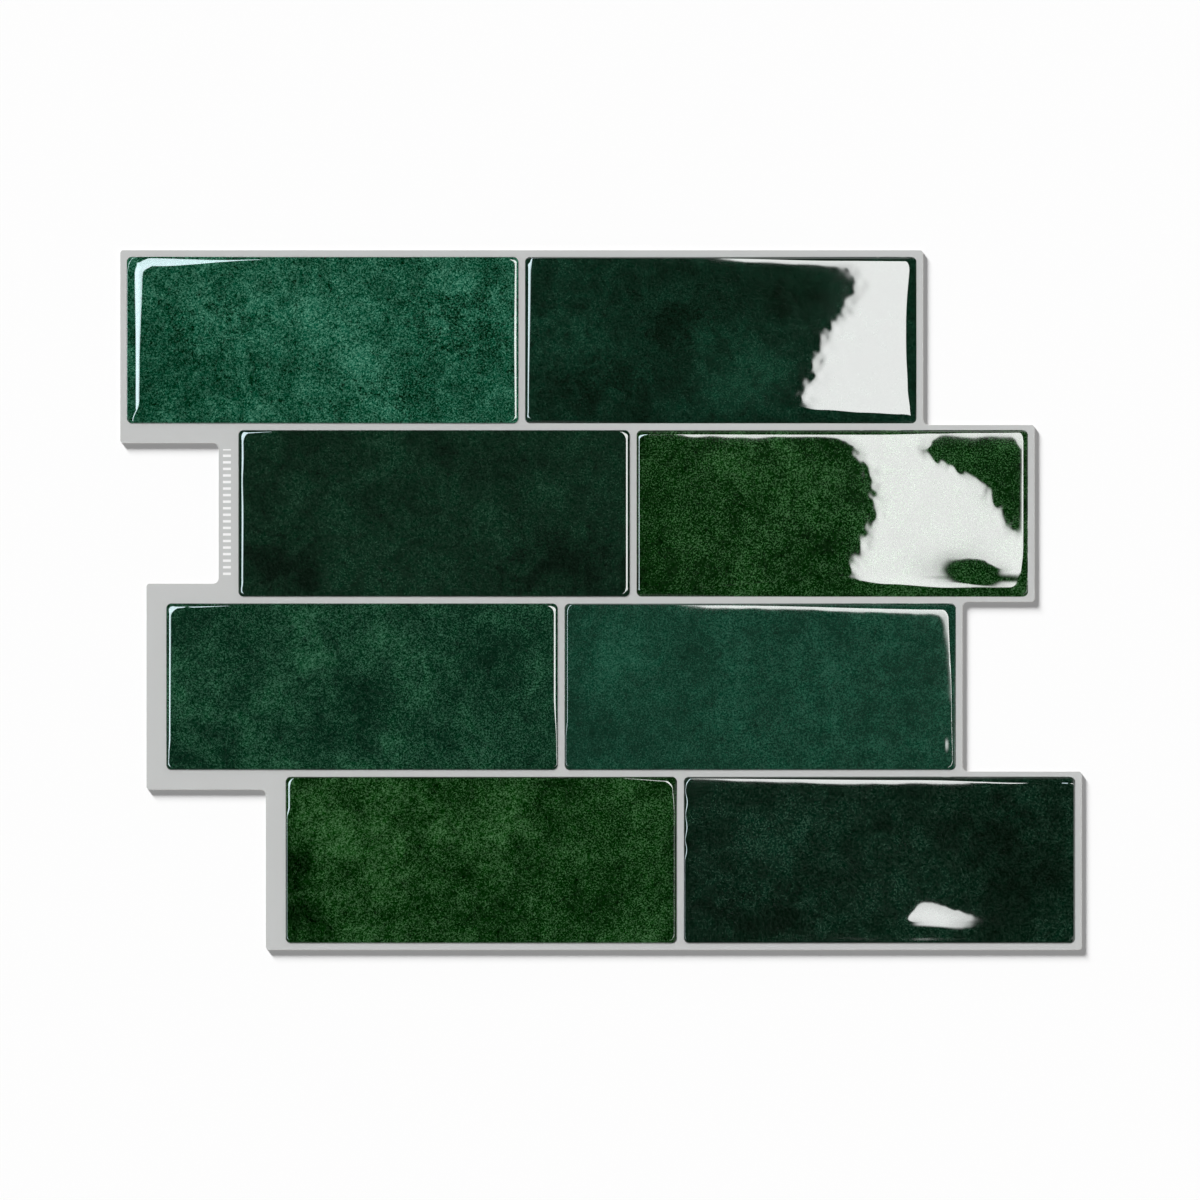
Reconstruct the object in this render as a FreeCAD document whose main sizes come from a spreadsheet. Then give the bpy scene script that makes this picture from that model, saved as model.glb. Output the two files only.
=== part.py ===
import FreeCAD, Part
import os

import Sketcher

# Peel and stick backsplash tile.
# One stepped sheet of grey printed film carries four rows of two domed gel tiles.
# The rows are shifted sideways, so the ends of one sheet's rows fit between the ends of the next sheet's rows.
# Seen from above, +X runs along the tiles, +Y runs from row four up to row one, and +Z leaves the tile faces.
# The origin is the centre of the stored sheet's footprint, at the underside of its release liner.

# Driving dimensions, in millimetres.
SIZES = {
    # One gel tile, its rounded corners and the upright foot below its rolled rim.
    "tile_length": 119.4,
    "tile_width": 50.8,
    "tile_corner": 1.6,
    "gel_height": 1.5,
    "gel_foot": 0.2,
    # The grout line between tiles, and how far each row starts to the right of row one.
    "joint_width": 2.05,
    "second_row_shift": 34.0,
    "third_row_shift": 12.0,
    "fourth_row_shift": 48.4,
    # The film left bare round the tiles: on plain edges, beside the overhanging right ends,
    # and on the laps that the next sheet is stuck over.
    "edge_margin": 2.0,
    "ledge_margin": 1.55,
    "lap_margin": 6.0,
    # The cut film's outer corners and the rounded feet of its notches.
    "film_corner": 0.95,
    "notch_corner": 1.7,
    # The layers under the gel.
    "film_thickness": 0.35,
    "liner_thickness": 0.15,
}

ROW_NAMES = ("first", "second", "third", "fourth")
SIDE_NAMES = ("left", "right")


def add_sheet(doc, name, cells, mark=""):
    """Put named cells into a spreadsheet of the document, one below the other."""
    sheet = doc.addObject("Spreadsheet::Sheet", name)
    for line, (alias, content) in enumerate(cells.items(), start=1):
        sheet.set(f"A{line}", alias)
        sheet.set(f"B{line}", f"{mark}{content}")
        sheet.setAlias(f"B{line}", alias)
    doc.recompute()
    return sheet


def layout_formulas():
    """Where the rows, their film and the steps of the outline lie, worked out from the sizes.

    Lengths are counted from the film's left edge and from its lower edge.
    """
    formulas = {
        "row_pitch": "Sizes.tile_width + Sizes.joint_width",
        "tile_pitch": "Sizes.tile_length + Sizes.joint_width",
        "row_run": "2 * Sizes.tile_length + Sizes.joint_width",
        "film_top": "2 * Sizes.edge_margin + 3 * row_pitch + Sizes.tile_width",
        "film_right": "2 * Sizes.edge_margin + Sizes.fourth_row_shift + row_run",
        "film_base": "Sizes.liner_thickness",
        "gel_base": "Sizes.liner_thickness + Sizes.film_thickness",
    }
    for place, row in enumerate(ROW_NAMES):
        rows_below = len(ROW_NAMES) - 1 - place
        shift = f" + Sizes.{row}_row_shift" if place else ""
        margin = "Sizes.lap_margin" if place else "Sizes.edge_margin"
        formulas[f"{row}_start"] = f"Sizes.edge_margin{shift}"
        formulas[f"{row}_low"] = f"Sizes.edge_margin + {rows_below} * row_pitch"
        formulas[f"{row}_high"] = f"{row}_low + Sizes.tile_width"
        formulas[f"{row}_film_left"] = f"{row}_start - {margin}"
        formulas[f"{row}_film_right"] = f"{row}_start + row_run + Sizes.edge_margin"
    # On the left, laps run below row one and all round the overhanging end of row three.
    formulas["left_notch_high"] = "first_low - Sizes.lap_margin"
    formulas["left_notch_low"] = "third_high + Sizes.lap_margin"
    formulas["left_step"] = "third_low - Sizes.lap_margin"
    # On the right, narrow ledges run round the overhanging ends of rows two and four.
    formulas["right_step"] = "second_high + Sizes.ledge_margin"
    formulas["right_notch_high"] = "second_low - Sizes.ledge_margin"
    formulas["right_notch_low"] = "fourth_high + Sizes.ledge_margin"
    return formulas


def film_corners():
    """The sixteen corners of the stepped outline, as pairs of layout names, clockwise from the top left."""
    return (
        ("first_film_left", "film_top"),
        ("first_film_right", "film_top"),
        ("first_film_right", "right_step"),
        ("second_film_right", "right_step"),
        ("second_film_right", "right_notch_high"),
        ("third_film_right", "right_notch_high"),
        ("third_film_right", "right_notch_low"),
        ("fourth_film_right", "right_notch_low"),
        ("fourth_film_right", "film_bottom"),
        ("fourth_film_left", "film_bottom"),
        ("fourth_film_left", "left_step"),
        ("third_film_left", "left_step"),
        ("third_film_left", "left_notch_low"),
        ("second_film_left", "left_notch_low"),
        ("second_film_left", "left_notch_high"),
        ("first_film_left", "left_notch_high"),
    )


def flat_sketch(body, name):
    """An empty sketch on the body's own base plane."""
    plane = next(part for part in body.Origin.OriginFeatures if part.Role == "XY_Plane")
    sketch = body.newObject("Sketcher::SketchObject", name)
    sketch.AttachmentSupport = [(plane, "")]
    sketch.MapMode = "FlatFace"
    return sketch


def draw_film_outline(sketch, layout):
    """Draw the stepped outline with level and upright lines, and tie each line's place to the layout."""
    origin, axis_x, axis_y = (-1, 1), -1, -2
    # The outline's left and lower lines lie on the sketch's own axes.
    on_axis = {"first_film_left": axis_y, "film_bottom": axis_x}
    corners = film_corners()

    def place(name):
        return 0.0 if name in on_axis else float(layout.get(name))

    points = [FreeCAD.Vector(place(x_name), place(y_name), 0) for x_name, y_name in corners]
    lines = [Part.LineSegment(start, points[(i + 1) % len(points)]) for i, start in enumerate(points)]
    sketch.addGeometry(lines, False)
    for i, (x_name, y_name) in enumerate(corners):
        following = (i + 1) % len(corners)
        sketch.addConstraint(Sketcher.Constraint("Coincident", i, 2, following, 1))
        level = y_name == corners[following][1]
        sketch.addConstraint(Sketcher.Constraint("Horizontal" if level else "Vertical", i))
        name = y_name if level else x_name
        if name in on_axis:
            sketch.addConstraint(Sketcher.Constraint("PointOnObject", i, 1, on_axis[name]))
            continue
        kind = "DistanceY" if level else "DistanceX"
        number = sketch.addConstraint(Sketcher.Constraint(kind, *origin, i, 1, place(name)))
        sketch.setExpression(f"Constraints[{number}]", f"Layout.{name}")


def upright_edges(shape, quarters):
    """The upright edges with solid in so many of the four quarters round them: 1 outside corners, 3 inside."""
    probe = 0.2
    names = []
    for number, edge in enumerate(shape.Edges, start=1):
        low, high = edge.Vertexes[0].Point, edge.Vertexes[-1].Point
        upright = abs(low.x - high.x) + abs(low.y - high.y) < 1e-6 < abs(low.z - high.z)
        if not upright:
            continue
        middle = (low + high) * 0.5
        around = [
            middle + FreeCAD.Vector(side_x * probe, side_y * probe, 0)
            for side_x in (-1, 1)
            for side_y in (-1, 1)
        ]
        if sum(shape.isInside(point, 1e-6, False) for point in around) == quarters:
            names.append(f"Edge{number}")
    return names


def stepped_layer(doc, layout, name, thickness, base):
    """One layer cut to the stepped outline: padded, then rounded at its outer corners and in its notches."""
    body = doc.addObject("PartDesign::Body", name)
    body.Label = name
    outline = flat_sketch(body, f"{name}_outline")
    draw_film_outline(outline, layout)
    doc.recompute()
    pad = body.newObject("PartDesign::Pad", f"{name}_layer")
    pad.Profile = outline
    pad.setExpression("Length", f"Sizes.{thickness}")
    doc.recompute()
    rounded = pad
    for quarters, corner in ((1, "film_corner"), (3, "notch_corner")):
        fillet = body.newObject("PartDesign::Fillet", f"{name}_{corner}")
        fillet.Base = (rounded, upright_edges(rounded.Shape, quarters))
        fillet.setExpression("Radius", f"Sizes.{corner}")
        doc.recompute()
        rounded = fillet
    if base is not None:
        body.setExpression("Placement.Base.z", f"Layout.{base}")
    body.setExpression("Placement.Base.x", "-Layout.film_right / 2")
    body.setExpression("Placement.Base.y", "-Layout.film_top / 2")
    return body


def draw_centred_rectangle(sketch, sizes, length, width):
    """A rectangle round the sketch's origin, tied to two named sizes."""
    half_x = sizes.get(length) / 2
    half_y = sizes.get(width) / 2
    corners = [
        FreeCAD.Vector(side_x * half_x, side_y * half_y, 0)
        for side_x, side_y in ((-1, -1), (1, -1), (1, 1), (-1, 1))
    ]
    lower, right, upper, left = range(4)
    sides = [Part.LineSegment(start, corners[(i + 1) % 4]) for i, start in enumerate(corners)]
    sketch.addGeometry(sides, False)
    for side in (lower, right, upper, left):
        sketch.addConstraint(Sketcher.Constraint("Coincident", side, 2, (side + 1) % 4, 1))
    for side in (lower, upper):
        sketch.addConstraint(Sketcher.Constraint("Horizontal", side))
    for side in (right, left):
        sketch.addConstraint(Sketcher.Constraint("Vertical", side))
    sketch.addConstraint(Sketcher.Constraint("Symmetric", lower, 1, upper, 1, -1, 1))
    for kind, side, name in (("DistanceX", lower, length), ("DistanceY", right, width)):
        number = sketch.addConstraint(Sketcher.Constraint(kind, side, 1, side, 2, sizes.get(name)))
        sketch.setExpression(f"Constraints[{number}]", f"Sizes.{name}")


def crest_edges(shape):
    """The edges of the topmost face."""
    top = shape.BoundBox.ZMax
    return [
        f"Edge{number}"
        for number, edge in enumerate(shape.Edges, start=1)
        if all(abs(vertex.Z - top) < 1e-6 for vertex in edge.Vertexes)
    ]


def gel_tile(doc, sizes, name, row, across):
    """One domed gel tile: rounded at its corners, then rolled over all round from its foot to its flat crest."""
    body = doc.addObject("PartDesign::Body", name)
    body.Label = name
    outline = flat_sketch(body, f"{name}_outline")
    draw_centred_rectangle(outline, sizes, "tile_length", "tile_width")
    doc.recompute()
    pad = body.newObject("PartDesign::Pad", f"{name}_gel")
    pad.Profile = outline
    pad.setExpression("Length", "Sizes.gel_height")
    doc.recompute()
    corners = body.newObject("PartDesign::Fillet", f"{name}_corners")
    corners.Base = (pad, upright_edges(pad.Shape, 1))
    corners.setExpression("Radius", "Sizes.tile_corner")
    doc.recompute()
    rim = body.newObject("PartDesign::Fillet", f"{name}_rim")
    rim.Base = (corners, crest_edges(corners.Shape))
    rim.setExpression("Radius", "Sizes.gel_height - Sizes.gel_foot")
    doc.recompute()
    body.setExpression(
        "Placement.Base.x",
        f"Layout.{row}_start + Sizes.tile_length / 2 + {across} * Layout.tile_pitch - Layout.film_right / 2",
    )
    body.setExpression(
        "Placement.Base.y",
        f"Layout.{row}_low + Sizes.tile_width / 2 - Layout.film_top / 2",
    )
    body.setExpression("Placement.Base.z", "Layout.gel_base")
    return body


def check_document(doc, pieces):
    """Stop if any object of the document failed, or if a piece isn't one sound solid."""
    for item in doc.Objects:
        if "Invalid" in item.State or "Error" in item.State:
            raise RuntimeError(f"{item.Name} failed: {item.State}")
    for piece in pieces:
        shape = piece.Shape
        if shape.isNull() or not shape.isValid() or len(shape.Solids) != 1:
            raise RuntimeError(f"{piece.Label} is not one valid solid")


def main():
    doc = FreeCAD.newDocument("BacksplashTile")
    sizes = add_sheet(doc, "Sizes", SIZES)
    layout = add_sheet(doc, "Layout", layout_formulas(), mark="=")
    pieces = [
        stepped_layer(doc, layout, "release_liner", "liner_thickness", None),
        stepped_layer(doc, layout, "backing_film", "film_thickness", "film_base"),
    ]
    for row in ROW_NAMES:
        for across, side in enumerate(SIDE_NAMES):
            pieces.append(gel_tile(doc, sizes, f"{row}_row_{side}_tile", row, across))
    doc.recompute()
    check_document(doc, pieces)
    os.makedirs("parts", exist_ok=True)
    for piece in pieces:
        piece.Shape.exportStep(os.path.join("parts", f"{piece.Label}.step"))
        box = piece.Shape.BoundBox
        print(
            f"{piece.Label}: {piece.Shape.Volume / 1000:.3f} cm3, "
            f"x {box.XMin:.2f} to {box.XMax:.2f}, y {box.YMin:.2f} to {box.YMax:.2f}, "
            f"z {box.ZMin:.2f} to {box.ZMax:.2f}"
        )


main()
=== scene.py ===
"""Peel and stick backsplash tile: eight glossy gel tiles on a stepped grey film with a paper liner.

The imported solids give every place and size. This script forms the gel tiles' soft domed surfaces,
dresses every piece, and sets the floor, the light and the camera.
"""

import logging
import math
from dataclasses import dataclass, field
from enum import Enum
from typing import ClassVar

import bpy
import numpy as np
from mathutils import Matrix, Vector


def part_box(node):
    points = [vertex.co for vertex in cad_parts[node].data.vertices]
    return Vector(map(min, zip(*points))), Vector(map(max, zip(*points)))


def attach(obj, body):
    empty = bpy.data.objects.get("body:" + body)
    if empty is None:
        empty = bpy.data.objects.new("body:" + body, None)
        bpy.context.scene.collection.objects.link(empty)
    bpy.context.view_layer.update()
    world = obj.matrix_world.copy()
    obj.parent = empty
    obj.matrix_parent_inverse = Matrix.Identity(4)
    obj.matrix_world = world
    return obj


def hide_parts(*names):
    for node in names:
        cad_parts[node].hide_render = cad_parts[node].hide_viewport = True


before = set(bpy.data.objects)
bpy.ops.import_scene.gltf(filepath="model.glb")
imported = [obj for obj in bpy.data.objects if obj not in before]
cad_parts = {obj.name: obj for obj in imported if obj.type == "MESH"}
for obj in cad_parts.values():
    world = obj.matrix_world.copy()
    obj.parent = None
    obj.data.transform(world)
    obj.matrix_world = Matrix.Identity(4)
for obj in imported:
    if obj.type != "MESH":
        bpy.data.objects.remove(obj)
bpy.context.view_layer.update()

LOG = logging.getLogger("backsplash_tile")
MM = 0.001
BODY = "root"
WHITE = (0.985, 0.985, 0.985, 1.0)
HALF = 0.5
NUMBER, COLOUR, VECTOR = "NodeSocketFloat", "NodeSocketColor", "NodeSocketVector"

# A curve through a few (place, value) points, eased between them.
Knots = tuple[tuple[float, float], ...]
EVEN: Knots = ((0.0, 1.0), (1.0, 1.0))
Colour = tuple[float, float, float]
Linear = tuple[float, float, float, float]
Pair = tuple[float, float]
Direction = tuple[float, float, float]
Socket = bpy.types.NodeSocket
Node = bpy.types.Node
Tree = bpy.types.NodeTree
# What an input of a shader node takes.
Value = Socket | float | tuple[float, ...]
Feeds = dict[int | str, Value]
Piece = bpy.types.Object
Places = np.ndarray


class Slot(Enum):
    """The record's material slots for gel."""

    TEAL = "teal_green_gel"
    DEEP = "deep_green_gel"
    LEAF = "leaf_green_gel"
    FOREST = "forest_green_gel"


def to_linear(colour: Colour) -> Linear:
    """Turns a screen colour into the linear colour that a shader takes.

    Args:
        colour: Red, green and blue from 0 to 255.

    Returns:
        Linear red, green, blue and an alpha of 1.
    """
    parts = [level / 255.0 for level in colour]
    linear = (p / 12.92 if p <= 0.04045 else ((p + 0.055) / 1.055) ** 2.4 for p in parts)
    return (*linear, 1.0)


def eased(points: Knots, place: Places) -> Places:
    """Reads an eased curve through a few points.

    Args:
        points: (place, value) pairs in rising order of place.
        place: Where the curve is read.

    Returns:
        The value at each place.
    """
    value = np.full(place.shape, points[0][1], float)
    for (start, low), (end, high) in zip(points, points[1:]):
        share = np.clip((place - start) / (end - start), 0.0, 1.0)
        value = value + (high - low) * share * share * (3.0 - 2.0 * share)
    return value


class Graph:
    """A small builder for shader nodes in a material, world or group tree."""

    def __init__(self, tree: Tree) -> None:
        """Keeps the node tree that nodes are added to."""
        self.tree = tree

    def add(self, kind: str, inputs: Feeds | None = None, **settings: str | bool | Tree) -> Node:
        """Adds a node.

        Args:
            kind: The node's type name.
            inputs: What its inputs take, as feed says.
            **settings: Properties set on the node.

        Returns:
            The new node.
        """
        node = self.tree.nodes.new(kind)
        for name, value in settings.items():
            setattr(node, name, value)
        self.feed(node, inputs or {})
        return node

    def feed(self, node: Node, inputs: Feeds) -> None:
        """Links outputs to a node's inputs, or sets plain values on them.

        Args:
            node: The node.
            inputs: An output socket or a plain value for each input, by its place or name.
        """
        for place, value in inputs.items():
            if isinstance(value, Socket):
                self.tree.links.new(value, node.inputs[place])
            else:
                node.inputs[place].default_value = value

    def math(
        self, operation: str, first: Value, second: Value = 0.0, clamp: bool = False
    ) -> Socket:
        """Adds a Math node, whose clamp holds the result between 0 and 1."""
        values = {0: first, 1: second}
        node = self.add("ShaderNodeMath", values, operation=operation, use_clamp=clamp)
        return node.outputs[0]

    def ramp(
        self, value: Value, start: Value, end: Value, low: Value = 0.0, high: Value = 1.0
    ) -> Socket:
        """Maps a value smoothly, from low at start to high at end."""
        values = dict(enumerate((value, start, end, low, high)))
        return self.add("ShaderNodeMapRange", values, interpolation_type="SMOOTHSTEP").outputs[0]

    def vector(self, operation: str, *values: Value, **named: Value) -> Socket:
        """Adds a Vector Math node, with its inputs in order or by name."""
        inputs = dict(enumerate(values)) | named
        return self.add("ShaderNodeVectorMath", inputs, operation=operation).outputs[0]

    def mix(self, share: Value, first: Value, second: Value) -> Socket:
        """Mixes two colours, where share says how much of the second shows."""
        # The node's sockets 6 and 7 are its colours A and B.
        values = {0: share, 6: first, 7: second}
        return self.add("ShaderNodeMix", values, data_type="RGBA", clamp_factor=False).outputs[2]

    def noise(
        self,
        place: Socket,
        size: float,
        detail: float = 2.0,
        rough: float = 0.5,
        twist: float = 0.0,
        output: int = 0,
    ) -> Socket:
        """Adds a noise pattern.

        Args:
            place: The coordinates.
            size: The pattern's feature size in metres.
            detail: How many finer layers it has.
            rough: How strong the finer layers are.
            twist: How much the pattern is distorted.
            output: 0 for the noise value and 1 for its colour.

        Returns:
            The noise's socket, about 0 to 1.
        """
        values = {"Vector": place, "Scale": 1.0 / size, "Detail": detail}
        values |= {"Roughness": rough, "Distortion": twist}
        return self.add("ShaderNodeTexNoise", values).outputs[output]

    def threads(self, pattern: Socket, thickness: float) -> Socket:
        """Makes a mask of fine threads, fading over thickness, where a pattern is halfway."""
        away = self.math("ABSOLUTE", self.math("SUBTRACT", pattern, HALF))
        return self.ramp(away, start=thickness, end=0.0)

    def grey(self, value: Socket) -> Socket:
        """Turns a number into a grey."""
        return self.add("ShaderNodeCombineColor", dict.fromkeys(range(3), value)).outputs[0]

    def bump(self, shader: Node, height: Socket, strength: float, distance: float) -> None:
        """Gives a shader a relief, by a strength up to 1 and a distance in metres."""
        values = {"Strength": strength, "Distance": distance, "Height": height}
        self.feed(shader, {"Normal": self.add("ShaderNodeBump", values).outputs[0]})


def new_group(
    name: str, inputs: dict[str, str]
) -> tuple[Tree, Graph, bpy.types.NodeOutputs, Node]:
    """Starts a node group that puts out a colour, a roughness and a height.

    Args:
        name: The group's name.
        inputs: Socket type by input name.

    Returns:
        The group, a builder for it, what it is given, and the node that takes its results.
    """
    tree = bpy.data.node_groups.new(name, "ShaderNodeTree")
    for socket, kind in inputs.items():
        tree.interface.new_socket(name=socket, in_out="INPUT", socket_type=kind)
    for socket, kind in {"Color": COLOUR, "Roughness": NUMBER, "Height": NUMBER}.items():
        tree.interface.new_socket(name=socket, in_out="OUTPUT", socket_type=kind)
    graph = Graph(tree)
    return tree, graph, graph.add("NodeGroupInput").outputs, graph.add("NodeGroupOutput")


@dataclass
class SharedEffects:
    """The shader node groups that several materials use, with the values that all prints share."""

    brightest: float = 1.7
    mean_fleck: float = 0.4
    grain_limits: Pair = (-0.5, 0.85)
    grain_lean: float = 0.3
    mean_lean: float = 0.07
    grain_by_tone: Pair = (0.4, 1.6)
    gel_roughness: Pair = (0.014, 0.022)
    sheet_roughness: Pair = (0.46, 0.56)
    gel_print: Tree = field(init=False)
    fine_tooth: Tree = field(init=False)

    def __post_init__(self) -> None:
        """Builds each group once."""
        self.gel_print = self.build_gel_print()
        self.fine_tooth = self.build_fine_tooth()

    def build_gel_print(self) -> Tree:
        """Builds the mottled print under the gel: clouds, mottle, grain, specks and crackle.

        Returns:
            The node group.
        """
        inputs = {"Place": VECTOR} | dict.fromkeys(("Dark", "Middle", "Light", "Glint"), COLOUR)
        amounts = ("Tone", "Cloud", "Mottle", "Grain", "Fleck", "Speck", "Crackle")
        tree, g, given, made = new_group("gel_print", inputs | dict.fromkeys(amounts, NUMBER))
        place = given["Place"]
        broad = g.noise(place, size=0.026, detail=2.0, rough=0.6, twist=0.4)
        mottle = g.noise(place, size=0.0075, detail=4.0, rough=0.8, twist=0.5)
        pits = g.noise(place, size=0.0013, detail=1.0, rough=0.8, twist=0.8)
        pits = g.ramp(pits, start=0.58, end=0.70)
        pits = g.math("MULTIPLY", pits, g.ramp(mottle, start=0.56, end=0.40))
        veins = g.noise(place, size=0.0030, detail=2.0, rough=0.7, twist=1.5)
        cracks = g.threads(veins, thickness=0.045)
        cracks = g.math("MULTIPLY", cracks, g.ramp(mottle, start=0.58, end=0.47))
        tone = g.math("ADD", given["Tone"], HALF)
        for layer, amount in ((broad, "Cloud"), (mottle, "Mottle")):
            part = g.math("MULTIPLY", g.math("SUBTRACT", layer, HALF), given[amount])
            tone = g.math("ADD", tone, part)
        for layer, amount in ((pits, "Speck"), (cracks, "Crackle")):
            tone = g.math("SUBTRACT", tone, g.math("MULTIPLY", layer, given[amount]))
        lower = g.math("MULTIPLY", tone, 2.0, clamp=True)
        upper = g.math("MAXIMUM", g.math("SUBTRACT", g.math("MULTIPLY", tone, 2.0), 1.0), 0.0)
        upper = g.math("MINIMUM", upper, self.brightest)
        shade = g.mix(lower, given["Dark"], given["Middle"])
        shade = g.mix(upper, shade, given["Light"])
        fine = self.fine_grain(g, place, given)
        fine = g.math("MULTIPLY", fine, g.ramp(tone, 0.0, 1.0, *self.grain_by_tone))
        grained = g.vector("MULTIPLY_ADD", fine, given["Glint"], shade)
        colour = g.vector("MAXIMUM", grained, (0.0, 0.0, 0.0))
        sheen = g.ramp(g.noise(place, size=0.009, detail=2.0), 0.3, 0.7, *self.gel_roughness)
        height = g.noise(place, size=0.0018, detail=1.0, rough=0.4)
        g.feed(made, {"Color": colour, "Roughness": sheen, "Height": height})
        return tree

    def fine_grain(self, g: Graph, place: Socket, given: bpy.types.NodeOutputs) -> Socket:
        """Draws the print's finest grain and flecks, which lean to the light side.

        Args:
            g: The group's node builder.
            place: The coordinates.
            given: What the group is given.

        Returns:
            The grain, about 0 on the whole.
        """
        grain = g.noise(place, size=0.00052, detail=1.0, rough=1.0, twist=0.3)
        fine = g.math("MULTIPLY", g.math("SUBTRACT", grain, HALF), given["Grain"])
        flecks = g.noise(place, size=0.0016, detail=2.0, rough=0.8, twist=1.2)
        flecks = g.math("SUBTRACT", g.threads(flecks, thickness=0.05), self.mean_fleck)
        fine = g.math("ADD", fine, g.math("MULTIPLY", flecks, given["Fleck"]))
        darkest, lightest = self.grain_limits
        fine = g.math("MINIMUM", g.math("MAXIMUM", fine, darkest), lightest)
        lean = g.math("MULTIPLY", g.math("ABSOLUTE", fine), self.grain_lean)
        return g.math("SUBTRACT", g.math("ADD", fine, lean), self.mean_lean)

    def build_fine_tooth(self) -> Tree:
        """Builds the fine tooth of film and paper, with its slight unevenness of tone.

        Returns:
            The node group.
        """
        inputs = {"Place": VECTOR, "Colour": COLOUR, "Depth": NUMBER}
        tree, g, given, made = new_group("fine_tooth", inputs)
        place = given["Place"]
        fine = g.noise(place, size=0.0007, detail=2.0, rough=0.6)
        broad = g.noise(place, size=0.03, detail=3.0, rough=0.5)
        both = g.math("ADD", g.math("MULTIPLY", fine, HALF), g.math("MULTIPLY", broad, HALF))
        offset = g.math("MULTIPLY", g.math("SUBTRACT", both, HALF), given["Depth"])
        colour = g.vector("SCALE", given["Colour"], Scale=g.math("ADD", offset, 1.0))
        sheen = g.ramp(broad, 0.3, 0.7, *self.sheet_roughness)
        g.feed(made, {"Color": colour, "Roughness": sheen, "Height": fine})
        return tree


def new_material(
    name: str, kind: str = "ShaderNodeBsdfPrincipled"
) -> tuple[bpy.types.Material, Graph, Node]:
    """Starts a material with one shader.

    Args:
        name: The material's name.
        kind: The shader node's type name.

    Returns:
        The material, a builder for its nodes, and the shader node.
    """
    material = bpy.data.materials.new(name)
    material.use_nodes = True
    material.node_tree.nodes.clear()
    graph = Graph(material.node_tree)
    shader = graph.add(kind)
    graph.add("ShaderNodeOutputMaterial", {"Surface": shader.outputs[0]})
    return material, graph, shader


@dataclass(frozen=True)
class Cloud:
    """A lighter or darker cloud in a tile's print, in mm from the tile's lower left corner."""

    x: float
    y: float
    reach_x: float
    reach_y: float
    tone: float
    fade: ClassVar[Pair] = (1.25, 0.1)

    def mask(self, g: Graph, place: Socket, corner: Pair) -> Socket:
        """Draws the cloud.

        Args:
            g: The material's node builder.
            place: The coordinates.
            corner: The tile's lower left corner in metres.

        Returns:
            The cloud's tone where it lies, and 0 elsewhere.
        """
        centre = (corner[0] + self.x * MM, corner[1] + self.y * MM, 0.0)
        size = (self.reach_x * MM, self.reach_y * MM, 1.0)
        values = {"Vector": place, "Location": centre, "Scale": size}
        at = g.add("ShaderNodeMapping", values, vector_type="TEXTURE")
        away = g.add("ShaderNodeVectorMath", {0: at.outputs[0]}, operation="LENGTH")
        return g.ramp(away.outputs["Value"], *self.fade, 0.0, self.tone)


def clouds(*rows: tuple[float, float, float, float, float]) -> tuple[Cloud, ...]:
    """Makes a print's clouds from their x, y, reach_x, reach_y and tone."""
    return tuple(Cloud(*row) for row in rows)


@dataclass(frozen=True)
class GelPrint:
    """The mottled green of one gel tile."""

    dark: Colour
    middle: Colour
    light: Colour
    clouds: tuple[Cloud, ...] = ()
    crackles: tuple[Cloud, ...] = ()
    cloud: float = 1.0
    mottle: float = 1.55
    grain: float = 2.6
    fleck: float = 0.0
    speck: float = 0.35
    sparkle: Colour = (1.0, 0.9, 0.9)
    wander: float = 0.011
    wander_size: float = 0.009
    relief: float = 1.5e-7
    ior: float = 1.5
    coat_roughness: float = 0.015

    def material(self, name: str, corner: Pair, effects: SharedEffects) -> bpy.types.Material:
        """Makes the tile's glossy material.

        Args:
            name: The material's name.
            corner: The tile's lower left corner in metres.
            effects: The shared node groups.

        Returns:
            The material.
        """
        material, g, shader = new_material(name)
        place = g.add("ShaderNodeTexCoord").outputs["Object"]
        stirred = self.stir(g, place)
        colours = {"Dark": self.dark, "Middle": self.middle, "Light": self.light}
        values = {socket: to_linear(colour) for socket, colour in colours.items()}
        values |= {"Place": place, "Glint": self.glint(), "Cloud": self.cloud, "Speck": self.speck}
        values |= {"Mottle": self.mottle, "Grain": self.grain, "Fleck": self.fleck}
        for socket, placed in (("Tone", self.clouds), ("Crackle", self.crackles)):
            values[socket] = 0.0
            for cloud in placed:
                values[socket] = g.math("ADD", values[socket], cloud.mask(g, stirred, corner))
        mottle = g.add("ShaderNodeGroup", values, node_tree=effects.gel_print).outputs
        g.bump(shader, mottle["Height"], 1.0, self.relief)
        g.feed(shader, {"Base Color": mottle["Color"], "Roughness": mottle["Roughness"]})
        g.feed(shader, {"Coat Weight": 1.0, "Coat Roughness": self.coat_roughness})
        g.feed(shader, {"IOR": self.ior, "Coat IOR": self.ior})
        return material

    def glint(self) -> Linear:
        """Works out the grey change of colour that one full step of the fine grain makes.

        Returns:
            The change of linear red, green and blue, and an alpha of 1.
        """
        quarter = (self.light[1] - self.dark[1]) / 4.0
        steps = [(level, quarter * share) for level, share in zip(self.middle, self.sparkle)]
        bright = to_linear(tuple(level + step for level, step in steps))
        deep = to_linear(tuple(max(level - step, 0.0) for level, step in steps))
        return (*(2.0 * (high - low) for high, low in zip(bright[:3], deep[:3])), 1.0)

    def stir(self, g: Graph, place: Socket) -> Socket:
        """Bends the coordinates, so that the placed clouds have wandering outlines.

        Args:
            g: The material's node builder.
            place: The coordinates.

        Returns:
            The bent coordinates.
        """
        noise = g.noise(place, self.wander_size, detail=3.0, rough=0.65, output=1)
        centred = g.vector("SUBTRACT", noise, (HALF, HALF, HALF))
        both = g.vector("ADD", place, g.vector("SCALE", centred, Scale=self.wander))
        return g.vector("MULTIPLY", both, (1.0, 1.0, 0.0))


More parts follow.
